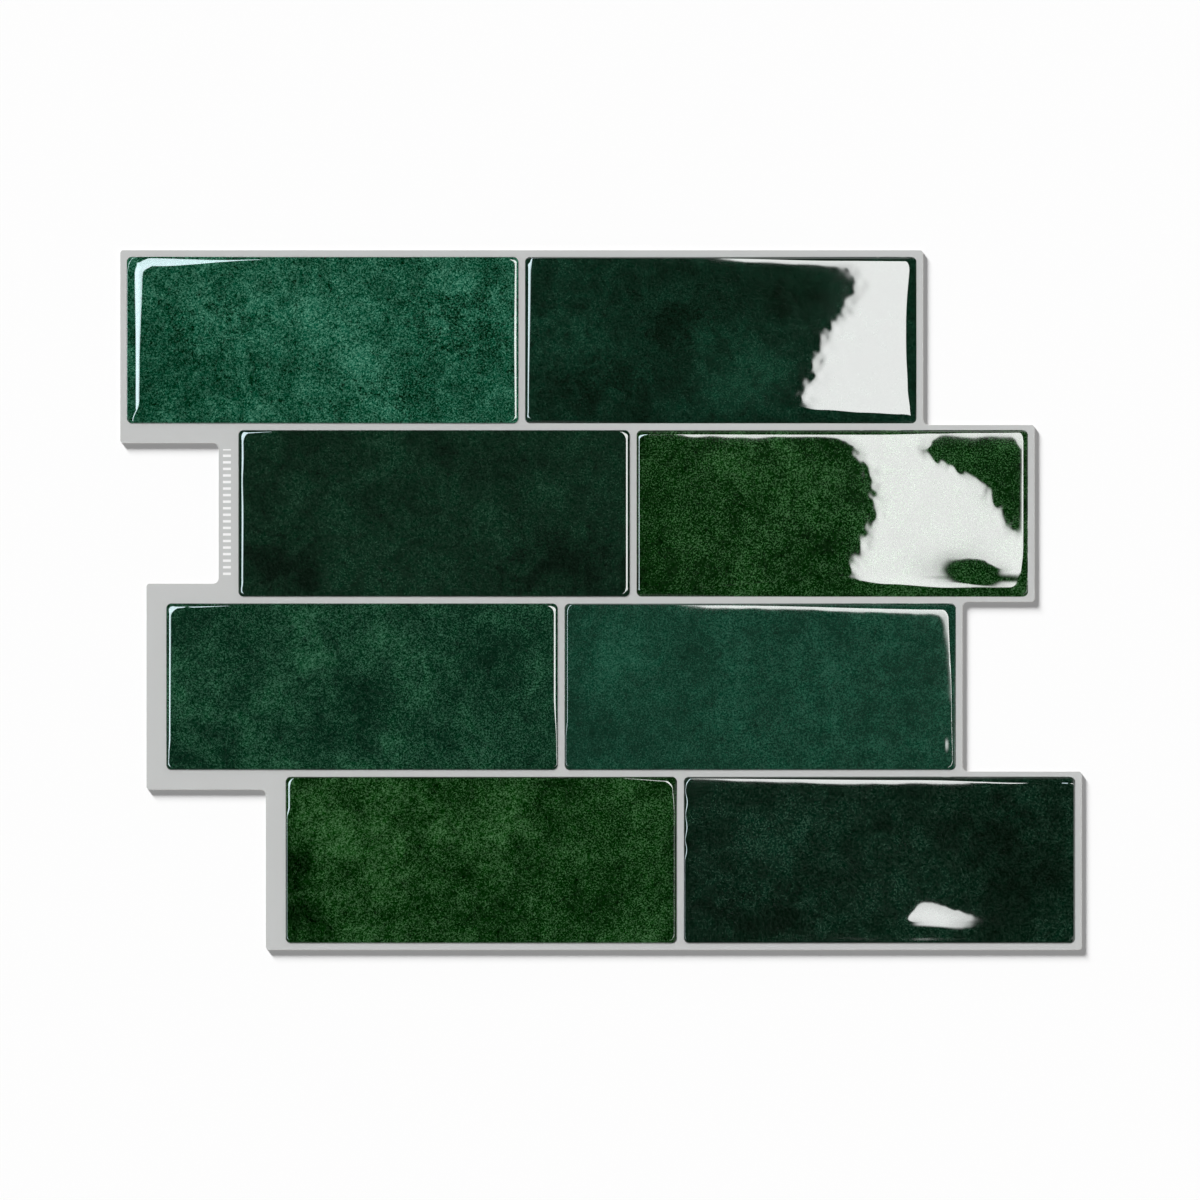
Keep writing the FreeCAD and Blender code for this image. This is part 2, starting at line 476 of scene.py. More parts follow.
@dataclass(frozen=True)
class SheetFinish:
    """The fine-toothed finish of a thin sheet."""

    name: str
    colour: Colour
    unevenness: float
    tooth: float
    tooth_depth: float
    shine: float

    def material(self, effects: SharedEffects) -> bpy.types.Material:
        """Makes the sheet's material.

        Args:
            effects: The shared node groups.

        Returns:
            The material.
        """
        material, g, shader = new_material(self.name)
        place = g.add("ShaderNodeTexCoord").outputs["Object"]
        values = {"Place": place, "Colour": to_linear(self.colour), "Depth": self.unevenness}
        tooth = g.add("ShaderNodeGroup", values, node_tree=effects.fine_tooth).outputs
        g.bump(shader, tooth["Height"], self.tooth, self.tooth_depth)
        colour = self.printed(g, place, tooth["Color"])
        g.feed(shader, {"Base Color": colour, "Roughness": tooth["Roughness"]})
        g.feed(shader, {"Specular IOR Level": self.shine})
        return material

    def printed(self, g: Graph, place: Socket, colour: Socket) -> Socket:
        """Gives the bare sheet's colour, as nothing is printed on it."""
        return colour


@dataclass(frozen=True)
class LinerPaper(SheetFinish):
    """The smooth white release paper on the back."""

    name: str = "release_paper"
    colour: Colour = (232.0, 229.0, 221.0)
    unevenness: float = 0.10
    tooth: float = 0.5
    tooth_depth: float = 0.00002
    shine: float = 0.3


@dataclass(frozen=True)
class SatinFilm(SheetFinish):
    """The grey printed film with its row of small plain marks on one lap."""

    name: str = "satin_grey_film"
    colour: Colour = (192.0, 193.0, 192.0)
    unevenness: float = 0.05
    tooth: float = 0.4
    tooth_depth: float = 0.00001
    shine: float = 0.1
    ink: Colour = (240.0, 240.0, 240.0)
    marks_x: Pair = (-0.1153, -0.1129)
    marks_y: Pair = (0.0070, 0.0460)
    pitch: float = 0.0020
    mark_edge: Pair = (0.22, 0.16)
    blur: float = 0.00008

    def printed(self, g: Graph, place: Socket, colour: Socket) -> Socket:
        """Adds the marks to the bare film's colour."""
        return g.mix(self.mark_mask(g, place), colour, to_linear(self.ink))

    def mark_mask(self, g: Graph, place: Socket) -> Socket:
        """Draws the row of plain marks.

        Args:
            g: The material's node builder.
            place: The object coordinates.

        Returns:
            A mask that is 1 on the ink.
        """
        x, y, _ = g.add("ShaderNodeSeparateXYZ", {0: place}).outputs
        mask: Value = 1.0
        for axis, (low, high) in ((x, self.marks_x), (y, self.marks_y)):
            mask = g.math("MULTIPLY", mask, g.ramp(axis, low - self.blur, low + self.blur))
            mask = g.math("MULTIPLY", mask, g.ramp(axis, high + self.blur, high - self.blur))
        along = g.math("DIVIDE", g.math("SUBTRACT", y, self.marks_y[0]), self.pitch)
        within = g.math("ABSOLUTE", g.math("SUBTRACT", g.math("FRACT", along), HALF))
        return g.math("MULTIPLY", mask, g.ramp(within, *self.mark_edge))


@dataclass(frozen=True)
class Rim:
    """How the gel falls away along one side of a tile, in mm.

    The rolled edge is width wide and falls by drop, and a higher power rounds it nearer the side.
    A soft shoulder of slope tail fades over reach. The last three say how the width, the shoulder
    and the drop change along the side.
    """

    width: float = 0.7
    drop: float = 0.5
    power: float = 1.5
    tail: float = 0.0
    reach: float = 1.2
    widths: Knots = EVEN
    tails: Knots = EVEN
    drops: Knots = EVEN

    def roll(self, along: Places) -> tuple[Places, Places, float]:
        """Gives the rolled edge's width, drop and power at each share of the way along the side."""
        width, drop = eased(self.widths, along), eased(self.drops, along)
        return self.width * width, self.drop * drop, self.power

    def shoulder(self, inward: Places, along: Places) -> Places:
        """Gives the soft shoulder's fall in mm, at inward mm from the side."""
        slope = self.tail * eased(self.tails, along)
        return slope * self.reach * np.exp(-inward / self.reach)


@dataclass(frozen=True)
class SlopeStep:
    """A line across the tile, past which the gel slopes down to the right.

    The line goes through (y, x) points in mm, and waves of slope rough make it ragged.
    """

    line: Knots
    slope: float
    width: float = 1.2
    rough: float = 0.003
    seed: int = 11


@dataclass(frozen=True)
class Mound:
    """A low swelling, or a dent when rise is negative, in mm from the tile's lower left corner."""

    x: float
    y: float
    reach_x: float
    reach_y: float
    rise: float


@dataclass(frozen=True)
class TileForm:
    """The whole surface of one gel tile."""

    left: Rim
    right: Rim
    top: Rim
    seed: int
    bottom: Rim = Rim()
    steps: tuple[SlopeStep, ...] = ()
    mounds: tuple[Mound, ...] = ()
    tilt_x: float = 0.0
    crown: float = 4e-5
    swell: float = 0.0008
    ripple: float = 0.0004
    corner_radius: float = 1.6
    corner_growth: float = 0.5
    calm_edge: ClassVar[Knots] = ((0.0, 0.0), (1.5, 0.0), (5.0, 1.0))
    ripple_seed: ClassVar[int] = 50
    farthest: ClassVar[float] = 30.0

    def fall(self, x: Places, y: Places, length: float, width: float) -> Places:
        """Works out how far the surface lies below the tile's highest level.

        Args:
            x: Distance from the left side in mm.
            y: Distance from the bottom side in mm.
            length: The tile's length in mm.
            width: The tile's width in mm.

        Returns:
            The fall in mm.
        """
        along_x, along_y = x / length, y / width
        in_x, in_y = np.minimum(x, length - x), np.minimum(y, width - y)
        at_left, at_bottom = x < length / 2.0, y < width / 2.0
        depth, turn = self.depth(in_x, in_y)
        rolled = []
        for side, other, first, along in (
            (self.left, self.right, at_left, along_y),
            (self.bottom, self.top, at_bottom, along_x),
        ):
            ends = zip(side.roll(along), other.roll(along))
            rolled.append([np.where(first, *pair) for pair in ends])
        spread, drop, power = (a + (b - a) * turn for a, b in zip(*rolled))
        share = np.clip((spread - depth) / spread, 0.0, 1.0)
        fall = drop * (1.0 - (1.0 - share**power) ** (1.0 / power))
        fall = fall + self.left.shoulder(x, along_y) + self.right.shoulder(length - x, along_y)
        fall = fall + self.bottom.shoulder(y, along_x) + self.top.shoulder(width - y, along_x)
        inside = eased(self.calm_edge, depth)
        for step in self.steps:
            past = (x - eased(step.line, y)) / step.width
            fall = fall + step.slope * step.width * np.logaddexp(0.0, past)
            near = inside / np.cosh(np.clip(past / 2.0, -self.farthest, self.farthest)) ** 2
            teeth = self.waves(x, y, step.seed, step.rough, span=(2.4, 7.0), count=30)
            fall = fall + near * teeth
        for mound in self.mounds:
            away = ((x - mound.x) / mound.reach_x) ** 2 + ((y - mound.y) / mound.reach_y) ** 2
            fall = fall - mound.rise * np.exp(-away / 2.0)
        fall = fall + self.tilt_x * (x - length / 2.0)
        fall = fall + self.crown * (x - length / 2.0) ** 2 / 2.0
        fall = fall - self.waves(x, y, self.seed, self.swell, span=(8.0, 30.0), count=14)
        seed = self.seed + self.ripple_seed
        return fall - inside * self.waves(x, y, seed, self.ripple, span=(2.0, 6.0), count=24)

    def depth(self, in_x: Places, in_y: Places) -> tuple[Places, Places]:
        """Measures how far in from the outline a point lies, where inner corners grow rounder.

        Args:
            in_x: Distance from the nearer short side in mm.
            in_y: Distance from the nearer long side in mm.

        Returns:
            The depth in mm, and the turn round the corner, 0 at the short side and 1 at the long.
        """
        radius, growth = self.corner_radius, self.corner_growth
        step = 1.0 + growth
        part_x, part_y = radius - in_x, radius - in_y
        square = 2.0 * step**2 - growth**2
        linear = 2.0 * step * (part_x + part_y) - 2.0 * radius * growth
        plain = part_x**2 + part_y**2 - radius**2
        root = np.sqrt(np.maximum(linear**2 - 4.0 * square * plain, 0.0))
        curved = (root - linear) / (2.0 * square)
        straight = np.minimum(in_x, in_y)
        arm_x, arm_y = part_x + step * curved, part_y + step * curved
        corner = (arm_x > 0.0) & (arm_y > 0.0) & (radius + growth * curved > 0.0)
        depth = np.where(corner, np.maximum(curved, 0.0), straight)
        angle = np.arctan2(np.maximum(arm_y, 0.0), np.maximum(arm_x, 1e-9)) / (math.pi / 2.0)
        turn = np.where(corner, angle * angle * (3.0 - 2.0 * angle), (in_y < in_x).astype(float))
        return depth, turn

    @staticmethod
    def waves(x: Places, y: Places, seed: int, slope: float, span: Pair, count: int) -> Places:
        """Adds up slow waves of the poured surface.

        Args:
            x: Distance from the left side in mm.
            y: Distance from the bottom side in mm.
            seed: The seed of the waves' draws.
            slope: The waves' typical slope.
            span: The shortest and longest wave in mm.
            count: How many waves are added.

        Returns:
            The height in mm.
        """
        draws = np.random.RandomState(seed)
        height = np.zeros(x.shape)
        for _ in range(count):
            length = math.exp(draws.uniform(math.log(span[0]), math.log(span[1])))
            turn = draws.uniform(0.0, math.pi)
            start = draws.uniform(0.0, 2.0 * math.pi)
            rate = 2.0 * math.pi / length
            phase = rate * (x * math.cos(turn) + y * math.sin(turn)) + start
            height = height + slope / rate * np.sin(phase) * math.sqrt(2.0 / count)
        return height


@dataclass
class GelTile:
    """One domed gel tile, formed from a grid and closed down to the film."""

    name: str
    node: str
    slot: Slot
    form: TileForm
    finish: GelPrint
    edge_cell: float = 0.08
    edge_band: float = 1.6
    shoulder_cell: float = 0.2
    shoulder_band: float = 5.0
    middle_cell: float = 0.55
    least_height: float = 0.15
    smooth_angle: float = 50.0
    piece: Piece = field(init=False, default=None)

    def build(self, effects: SharedEffects) -> Piece:
        """Makes the tile and puts it in the frame.

        Args:
            effects: The shared node groups.

        Returns:
            The finished piece.
        """
        low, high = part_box(self.node)
        length, width = (high.x - low.x) / MM, (high.y - low.y) / MM
        across, up = self.stations(length), self.stations(width)
        centre = ((low.x + high.x) / 2.0, (low.y + high.y) / 2.0, high.z)
        bpy.ops.object.select_all(action="DESELECT")
        columns, rows = len(across) - 1, len(up) - 1
        bpy.ops.mesh.primitive_grid_add(
            x_subdivisions=columns, y_subdivisions=rows, size=1.0, location=centre
        )
        self.piece = bpy.context.object
        self.piece.name = self.name
        self.piece.data.name = self.name
        self.piece.location = (0.0, 0.0, 0.0)
        self.shape(across, up, low, high)
        self.close(low.z)
        material = self.finish.material(f"{self.name}_print", (low.x, low.y), effects)
        self.piece.data.materials.append(material)
        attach(self.piece, BODY)
        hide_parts(self.node)
        LOG.info("%s: %d faces", self.name, len(self.piece.data.polygons))
        return self.piece

    def stations(self, length: float) -> Places:
        """Spaces the grid lines, close together near both ends.

        Args:
            length: The side's length in mm.

        Returns:
            The distance of each grid line from the side's start in mm.
        """
        edge = np.linspace(0.0, self.edge_band, round(self.edge_band / self.edge_cell) + 1)
        count = round((self.shoulder_band - self.edge_band) / self.shoulder_cell)
        shoulder = np.linspace(self.edge_band, self.shoulder_band, count + 1)[1:]
        near = np.concatenate([edge, shoulder])
        middle = length - 2.0 * self.shoulder_band
        inner = np.linspace(0.0, middle, round(middle / self.middle_cell) + 1)[1:-1]
        return np.concatenate([near, inner + self.shoulder_band, (length - near)[::-1]])

    def shape(self, across: Places, up: Places, low: Vector, high: Vector) -> None:
        """Moves the grid's points to the tile's surface.

        Args:
            across: The grid lines' places along the length in mm.
            up: The grid lines' places along the width in mm.
            low: The tile's lowest corner in metres.
            high: The tile's highest corner in metres.
        """
        mesh = self.piece.data
        flat = np.zeros(len(mesh.vertices) * 3)
        mesh.vertices.foreach_get("co", flat)
        points = flat.reshape(-1, 3)
        column = np.rint((points[:, 0] + HALF) * (len(across) - 1)).astype(int)
        row = np.rint((points[:, 1] + HALF) * (len(up) - 1)).astype(int)
        x, y = across[column], up[row]
        length, width = across[-1], up[-1]
        place_x, place_y = self.round_corners(x, y, length, width)
        fall = self.form.fall(place_x, place_y, length, width)
        fall = fall - fall.min()
        points[:, 0] = low.x + place_x * MM
        points[:, 1] = low.y + place_y * MM
        points[:, 2] = np.maximum(high.z - fall * MM, low.z + self.least_height * MM)
        mesh.vertices.foreach_set("co", points.ravel())
        mesh.update()

    def round_corners(
        self, x: Places, y: Places, length: float, width: float
    ) -> tuple[Places, Places]:
        """Draws the grid's square corners in to round ones.

        Args:
            x: Distance from the left side in mm.
            y: Distance from the bottom side in mm.
            length: The tile's length in mm.
            width: The tile's width in mm.

        Returns:
            The new x and y in mm.
        """
        radius = self.form.corner_radius
        middle_x = np.clip(x, radius, length - radius)
        middle_y = np.clip(y, radius, width - radius)
        out_x, out_y = (x - middle_x) / radius, (y - middle_y) / radius
        round_x = out_x * np.sqrt(1.0 - out_y**2 / 2.0)
        round_y = out_y * np.sqrt(1.0 - out_x**2 / 2.0)
        return middle_x + round_x * radius, middle_y + round_y * radius

    def close(self, foot: float) -> None:
        """Extrudes the outline down to the film and caps it.

        Args:
            foot: The film's top in metres.
        """
        bpy.ops.object.mode_set(mode="EDIT")
        bpy.ops.mesh.select_mode(type="EDGE")
        bpy.ops.mesh.select_all(action="DESELECT")
        bpy.ops.mesh.select_non_manifold(extend=False)
        bpy.ops.mesh.extrude_edges_move()
        bpy.ops.object.mode_set(mode="OBJECT")
        mesh = self.piece.data
        for vertex in mesh.vertices:
            if vertex.select:
                vertex.co.z = foot
        bpy.ops.object.mode_set(mode="EDIT")
        bpy.ops.mesh.edge_face_add()
        bpy.ops.mesh.select_all(action="SELECT")
        bpy.ops.mesh.normals_make_consistent(inside=False)
        bpy.ops.mesh.select_all(action="DESELECT")
        bpy.ops.object.mode_set(mode="OBJECT")
        bpy.ops.object.shade_smooth_by_angle(angle=math.radians(self.smooth_angle))


@dataclass
class FilmAndLiner:
    """The CAD film and its paper liner, dressed where they lie."""

    film: str = "backing_film"
    liner: str = "release_liner"

    def dress(self, effects: SharedEffects) -> list[Piece]:
        """Gives both sheets their finish.

        Args:
            effects: The shared node groups.

        Returns:
            The film and the liner.
        """
        sheets = [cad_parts[self.film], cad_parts[self.liner]]
        for sheet, finish in zip(sheets, (SatinFilm(), LinerPaper())):
            if not sheet.material_slots:
                sheet.data.materials.append(None)
            material = finish.material(effects)
            for place in sheet.material_slots:
                place.material = material
            LOG.info("%s: %s", sheet.name, material.name)
        return sheets


@dataclass(frozen=True)
class Card:
    """A softbox that gloss shows, bounded by direction: x and y over height as seen from the sheet.

    Its inner side lies at inner_x, and swings out by swing where y is low, fading over fade. It is
    blurred there by the first soft value where y is high and by the second where it is low. Its
    outer side is an ellipse of half widths reach, blurred over outer_edge, and it starts at low_y.
    Where y is low it dims to the last value of near as x falls from the second to the first, and
    where y reaches back_reach it dims to back.
    """

    inner_x: float
    swing: float
    fade: float
    soft: Pair
    reach: Pair
    low_y: Pair
    glow: Linear
    near: tuple[float, float, float]
    back: float
    outer_edge: Pair = (1.04, 0.96)
    back_reach: float = 0.35

    def socket(self, g: Graph, x: Socket, y: Socket) -> Socket:
        """Draws the card in the world.

        Args:
            g: The world's node builder.
            x: The direction's x over its height.
            y: The direction's y over its height.

        Returns:
            The card's mask.
        """
        low = g.math("EXPONENT", g.math("DIVIDE", g.math("MAXIMUM", y, 0.0), -self.fade))
        inner = g.math("ADD", g.math("MULTIPLY", low, self.swing), self.inner_x)
        soft = g.math("MULTIPLY", g.math("POWER", low, 3.0), self.soft[1] - self.soft[0])
        soft = g.math("ADD", soft, self.soft[0])
        across, back = (
            g.math("POWER", g.math("ABSOLUTE", g.math("DIVIDE", axis, reach)), 2.0)
            for axis, reach in zip((x, y), self.reach)
        )
        away = g.math("SQRT", g.math("ADD", across, back))
        shown = g.ramp(g.math("DIVIDE", g.math("SUBTRACT", x, inner), soft), -1.0, 1.0)
        for value, (start, end) in ((away, self.outer_edge), (y, self.low_y)):
            shown = g.math("MULTIPLY", shown, g.ramp(value, start, end))
        near, far, least = self.near
        dim = g.ramp(g.math("ABSOLUTE", x), near, far, 1.0 - least, 0.0)
        side = g.math("SUBTRACT", 1.0, g.math("MULTIPLY", dim, low))
        side = g.math("MULTIPLY", side, g.ramp(y, 0.0, self.back_reach, 1.0, self.back))
        return g.math("MULTIPLY", shown, side)


class Softbox(Enum):
    """The two softboxes."""

    LEFT = Card(
        inner_x=-0.010, swing=-0.155, fade=0.06, soft=(-0.001, -0.055), reach=(0.50, 0.54),
        low_y=(-0.30, -0.22), glow=(9.6, 11.7, 12.5, 1.0), near=(0.16, 0.42, 0.55), back=0.85,
    )
    RIGHT = Card(
        inner_x=0.002, swing=0.011, fade=0.04, soft=(0.0002, 0.0035), reach=(0.25, 0.42),
        low_y=(-0.085, -0.036), glow=(9.9, 10.0, 9.9, 1.0), near=(0.010, 0.030, 0.60), back=1.0,
    )


@dataclass
class Studio:
    """The camera, the pale floor and the soft light."""

    frame_width: float = 0.366
    centre_x: float = -0.000305
    camera_height: float = 1.0
    camera_range: Pair = (0.01, 100.0)
    floor_size: float = 30.0
    floor_drop: float = 0.00004
    lamp: float = 0.73
    overhead_from: Direction = (-0.10, 0.16, 1.0)
    overhead_spread: float = 20.0
    raking_from: Direction = (-3.25, 4.45, 1.0)
    raking_spread: float = 10.0
    dome: float = 0.27
    below: float = 0.9
    horizon: float = 0.01
    haze: float = 0.4
    haze_top: float = 0.55

    def build(self, tiles: list[Piece], sheets: list[Piece]) -> None:
        """Sets up the studio.

        Args:
            tiles: The gel tiles.
            sheets: The film and the liner.
        """
        self.place_camera()
        floor = self.lay_floor()
        self.light(floor, tiles, sheets)
        self.surround()

    def place_camera(self) -> None:
        """Looks straight down with an orthographic camera."""
        place = (self.centre_x, 0.0, self.camera_height)
        bpy.ops.object.camera_add(location=place, rotation=(0.0, 0.0, 0.0))
        camera = bpy.context.object
        camera.name = "camera"
        camera.data.type = "ORTHO"
        camera.data.ortho_scale = self.frame_width
        camera.data.clip_start, camera.data.clip_end = self.camera_range
        bpy.context.scene.camera = camera

    def lay_floor(self) -> Piece:
        """Lays the pale floor, which can be seen through from below.

        Returns:
            The floor.
        """
        place = (0.0, 0.0, -self.floor_drop)
        bpy.ops.mesh.primitive_plane_add(size=self.floor_size, location=place)
        floor = bpy.context.object
        floor.name = "floor"
        material, g, both = new_material("pale_floor", "ShaderNodeMixShader")
        matte = g.add("ShaderNodeBsdfDiffuse", {"Color": WHITE}).outputs[0]
        clear = g.add("ShaderNodeBsdfTransparent").outputs[0]
        behind = g.add("ShaderNodeNewGeometry").outputs["Backfacing"]
        g.feed(both, {0: behind, 1: matte, 2: clear})
        floor.data.materials.append(material)
        floor.visible_diffuse = False
        floor.visible_shadow = False
        return floor

    def light(self, floor: Piece, tiles: list[Piece], sheets: list[Piece]) -> None:
        """Hangs a soft lamp over the sheet and a low one that rakes the floor.

        Args:
            floor: The floor.
            tiles: The gel tiles.
            sheets: The film and the liner, which alone shade the floor.
        """
        above = self.add_sun("overhead_softbox", self.overhead_from, self.overhead_spread)
        raking = self.add_sun("low_side_light", self.raking_from, self.raking_spread)
        above.light_linking.receiver_collection = self.gather("sheet_only", tiles + sheets)
        raking.light_linking.receiver_collection = self.gather("floor_only", [floor])
        raking.light_linking.blocker_collection = self.gather("flat_sheets", sheets)

    @staticmethod
    def gather(name: str, pieces: list[Piece]) -> bpy.types.Collection:
        """Puts pieces in a new collection, for a lamp to light or to be shaded by.

        Args:
            name: The collection's name.
            pieces: The pieces.

        Returns:
            The collection.
        """
        collection = bpy.data.collections.new(name)
        for piece in pieces:
            collection.objects.link(piece)
        return collection

    def add_sun(self, name: str, towards: Direction, spread: float) -> Piece:
        """Adds a distant soft lamp that reflections don't show.

        Args:
            name: The lamp's name.
            towards: The direction of the lamp as seen from the object.
            spread: The lamp's angular width in degrees.

        Returns:
            The lamp.
        """
        upright = towards[2] / math.sqrt(sum(part * part for part in towards))
        turn = math.atan2(towards[1], towards[0]) + math.pi / 2.0
        rotation = (math.acos(upright), 0.0, turn)
        bpy.ops.object.light_add(type="SUN", location=towards, rotation=rotation)
        lamp = bpy.context.object
        lamp.name = name
        lamp.data.energy = self.lamp * math.pi / upright
        lamp.data.angle = math.radians(spread)
        lamp.visible_glossy = False
        return lamp

    def surround(self) -> None:
        """Adds soft light, a white backdrop and two softboxes that only gloss shows."""
        world = bpy.data.worlds.new("studio")
        bpy.context.scene.world = world
        world.use_nodes = True
        world.node_tree.nodes.clear()
        g = Graph(world.node_tree)
        rays = g.add("ShaderNodeLightPath").outputs
        around = g.add("ShaderNodeTexCoord").outputs["Generated"]
        x, y, height = g.add("ShaderNodeSeparateXYZ", {0: around}).outputs
        up = g.math("MAXIMUM", height, 2.0 * self.horizon)
        x, y = g.math("DIVIDE", x, up), g.math("DIVIDE", y, up)
        gloss = g.grey(g.ramp(height, self.haze_top, 0.0, 0.0, self.haze))
        for softbox in Softbox:
            gloss = g.mix(softbox.value.socket(g, x, y), gloss, softbox.value.glow)
        above = g.ramp(height, -self.horizon, self.horizon)
        gloss = g.mix(above, (self.below, self.below, self.below, 1.0), gloss)
        dome = g.ramp(height, -2.0 * self.horizon, 2.0 * self.horizon, self.below, self.dome)
        shown = g.mix(rays["Is Glossy Ray"], g.grey(dome), gloss)
        shown = g.mix(rays["Is Camera Ray"], shown, WHITE)
        light = g.add("ShaderNodeBackground", {"Color": shown})
        g.add("ShaderNodeOutputWorld", {"Surface": light.outputs[0]})


# The darkest, middle and lightest greens of each print.
TEAL = ((6, 47, 29), (33, 85, 64), (57, 118, 94))
DEEP = ((10, 24, 15), (17, 41, 29), (25, 61, 45))
POND = ((12, 25, 17), (19, 42, 29), (25, 57, 40))
LEAF = ((0, 27, 0), (24, 58, 24), (48, 89, 48))
FOREST = ((10, 35, 23), (24, 59, 41), (39, 84, 59))
SEA = ((17, 45, 33), (25, 62, 47), (33, 79, 61))
NIGHT = ((8, 20, 12), (15, 35, 24), (23, 52, 38))

# The left tiles lean to the left, and are flat along their length.
LEANING = {"tilt_x": -0.002, "crown": 0.0, "swell": 0.0005}

# Each Rim begins with its width, drop and power.
FIRST_LEFT = GelTile(
    "gel_first_left", "first_row_left_tile", Slot.TEAL,
    TileForm(
        left=Rim(
            4.4, 1.25, 1.3, widths=((0, 0.5), (0.15, 0.88), (0.35, 0.9), (0.95, 1.12)),
            drops=((0.9, 1), (1, 1.35)),
        ),
        right=Rim(1.15, 0.25, 2.0, widths=((0, 0.9), (0.5, 1.1), (1, 0.9))),
        top=Rim(1.2, 0.6, 1.5, widths=((-0.1, 4.6), (0.36, 0.8)), drops=((0, 2.8), (0.06, 1))),
        seed=1, corner_growth=0.0, **LEANING,
    ),
    GelPrint(
        *TEAL,
        clouds=clouds(
            (57, 31, 22, 14, 0.3), (73, 16, 9, 10, 0.3), (16, 17, 24, 24, -0.15),
            (103, 12, 22, 15, -0.12), (38.5, 15, 1, 8, -0.35),
        ),
        crackles=clouds((101, 31, 20, 16, 2), (84, 8, 12, 8, 1.3), (25, 30, 20, 12, 0.7)),
        cloud=0.6, grain=3.4, sparkle=(1.15, 0.9, 0.9), fleck=0.3, speck=0.6,
    ),
)

FIRST_RIGHT = GelTile(
    "gel_first_right", "first_row_right_tile", Slot.DEEP,
    TileForm(
        left=Rim(2.0, 0.8, 2.0, widths=((0, 0.5), (0.1, 0.65), (1, 1.1))),
        right=Rim(
            4.6, 0.9, 1.6, widths=((0, 0.25), (0.08, 0.5), (0.22, 0.75), (0.52, 1.15), (1, 0.5)),
        ),
        bottom=Rim(
            1.2, 1.3, 1.5,
            widths=(
                (0, 1), (0.45, 4.3), (0.66, 4.3), (0.76, 3.5), (0.87, 2.75), (0.96, 2.3), (1, 1),
            ),
        ),
        top=Rim(
            1.0, 1.2, 1.5, tail=0.14, reach=1.15,
            widths=((0, 0.45), (0.5, 0.5), (0.8, 1.3), (1, 1.45)),
        ),
        seed=2,
        steps=(
            SlopeStep(
                line=(
                    (0, 90), (5, 86.5), (9, 84.5), (15, 88.5), (21, 90), (27, 92.5), (35, 99),
                    (41, 102), (50, 100),
                ),
                slope=0.01, seed=21,
            ),
            SlopeStep(((0, 57.5), (50, 57.5)), slope=0.001, rough=0.0),
        ),
        tilt_x=0.0002, crown=8e-05, swell=0.0003, ripple=0.0002,
    ),
    GelPrint(
        *DEEP,
        clouds=clouds(
            (67, 12, 18, 11, 0.4), (14, 27, 13, 10, 0.26), (69, 40, 24, 12, -0.26),
            (45, 30, 9, 7, -0.28), (14, 9, 15, 8, -0.1),
        ),
        crackles=clouds((46, 31, 14, 9, 1), (24, 13, 18, 10, 1)),
        grain=2.0,
    ),
)

SECOND_LEFT = GelTile(
    "gel_second_left", "second_row_left_tile", Slot.DEEP,
    TileForm(
        left=Rim(
            2.0, 0.9, 2.0,
            widths=((0, 0.45), (0.1, 0.85), (0.5, 0.95), (0.7, 0.8), (0.85, 1), (1, 0.9)),
        ),
        right=Rim(1.15, 0.3, 2.0),
        top=Rim(1.0, 0.5, 1.6, widths=((0, 1.2), (0.09, 0.6), (0.975, 0.6), (1, 1))),
        seed=3, **LEANING,
    ),
    GelPrint(
        *POND,
        clouds=clouds(
            (13, 10, 15, 13, -0.33), (97, 8, 22, 10, -0.4), (96, 33, 10, 7, 0.28),
            (36, 18, 14, 17, 0.28), (62, 46, 20, 6, -0.2),
        ),
        crackles=clouds((97, 10, 24, 12, 1.2), (10, 12, 16, 14, 0.6)),
    ),
)

SECOND_RIGHT = GelTile(
    "gel_second_right", "second_row_right_tile", Slot.LEAF,
    TileForm(
        left=Rim(1.0, 0.8, 2.0),
        right=Rim(1.6, 0.9, 1.7, tail=0.03, reach=1.1, widths=((0, 2.2), (0.3, 1), (1, 1))),
        bottom=Rim(
            1.2, 1.3, 1.5, tail=-0.02, reach=3.0,
            widths=(
                (0, 1.5), (0.5, 4.6), (0.53, 4.6), (0.64, 3.3), (0.8, 2.3), (0.96, 2.3), (1, 1.2),
            ),
            tails=((0.8, 0), (0.95, 1)),
        ),
        top=Rim(
            1.0, 1.2, 1.5, tail=0.16, reach=1.15,
            widths=((0, 1.4), (0.6, 1.5), (0.85, 0.9), (1, 0.8)),
        ),
        seed=4,
        steps=(
            SlopeStep(
                line=(
                    (0, 70), (5, 66.5), (9, 66), (15, 69), (20, 71), (25, 73), (32, 73), (38, 71.5),
                    (44, 68), (50, 64),
                ),
                slope=0.0107, rough=0.0028, seed=13,
            ),
            SlopeStep(
                line=((0, 130), (15, 121), (22, 113), (32, 107), (45.5, 87), (50, 88)),
                slope=-0.0115, rough=0.0028, seed=23,
            ),
            SlopeStep(((0, 13), (50, 13)), slope=0.0025, rough=0.0),
        ),
        mounds=(Mound(114.5, 8.4, 10.9, 3.66, 0.247), Mound(93.7, 4.6, 13.4, 1.3, -0.057)),
        tilt_x=0.0001, crown=0.0, swell=0.0003, ripple=0.0002,
    ),
    GelPrint(
        *LEAF,
        clouds=clouds(
            (3, 20, 7, 28, -0.25), (16, 4, 18, 8, -0.15), (58, 10, 13, 12, -0.22),
            (24, 36, 17, 12, 0.12),
        ),
        grain=3.7, sparkle=(1.15, 0.88, 1.15),
    ),
)

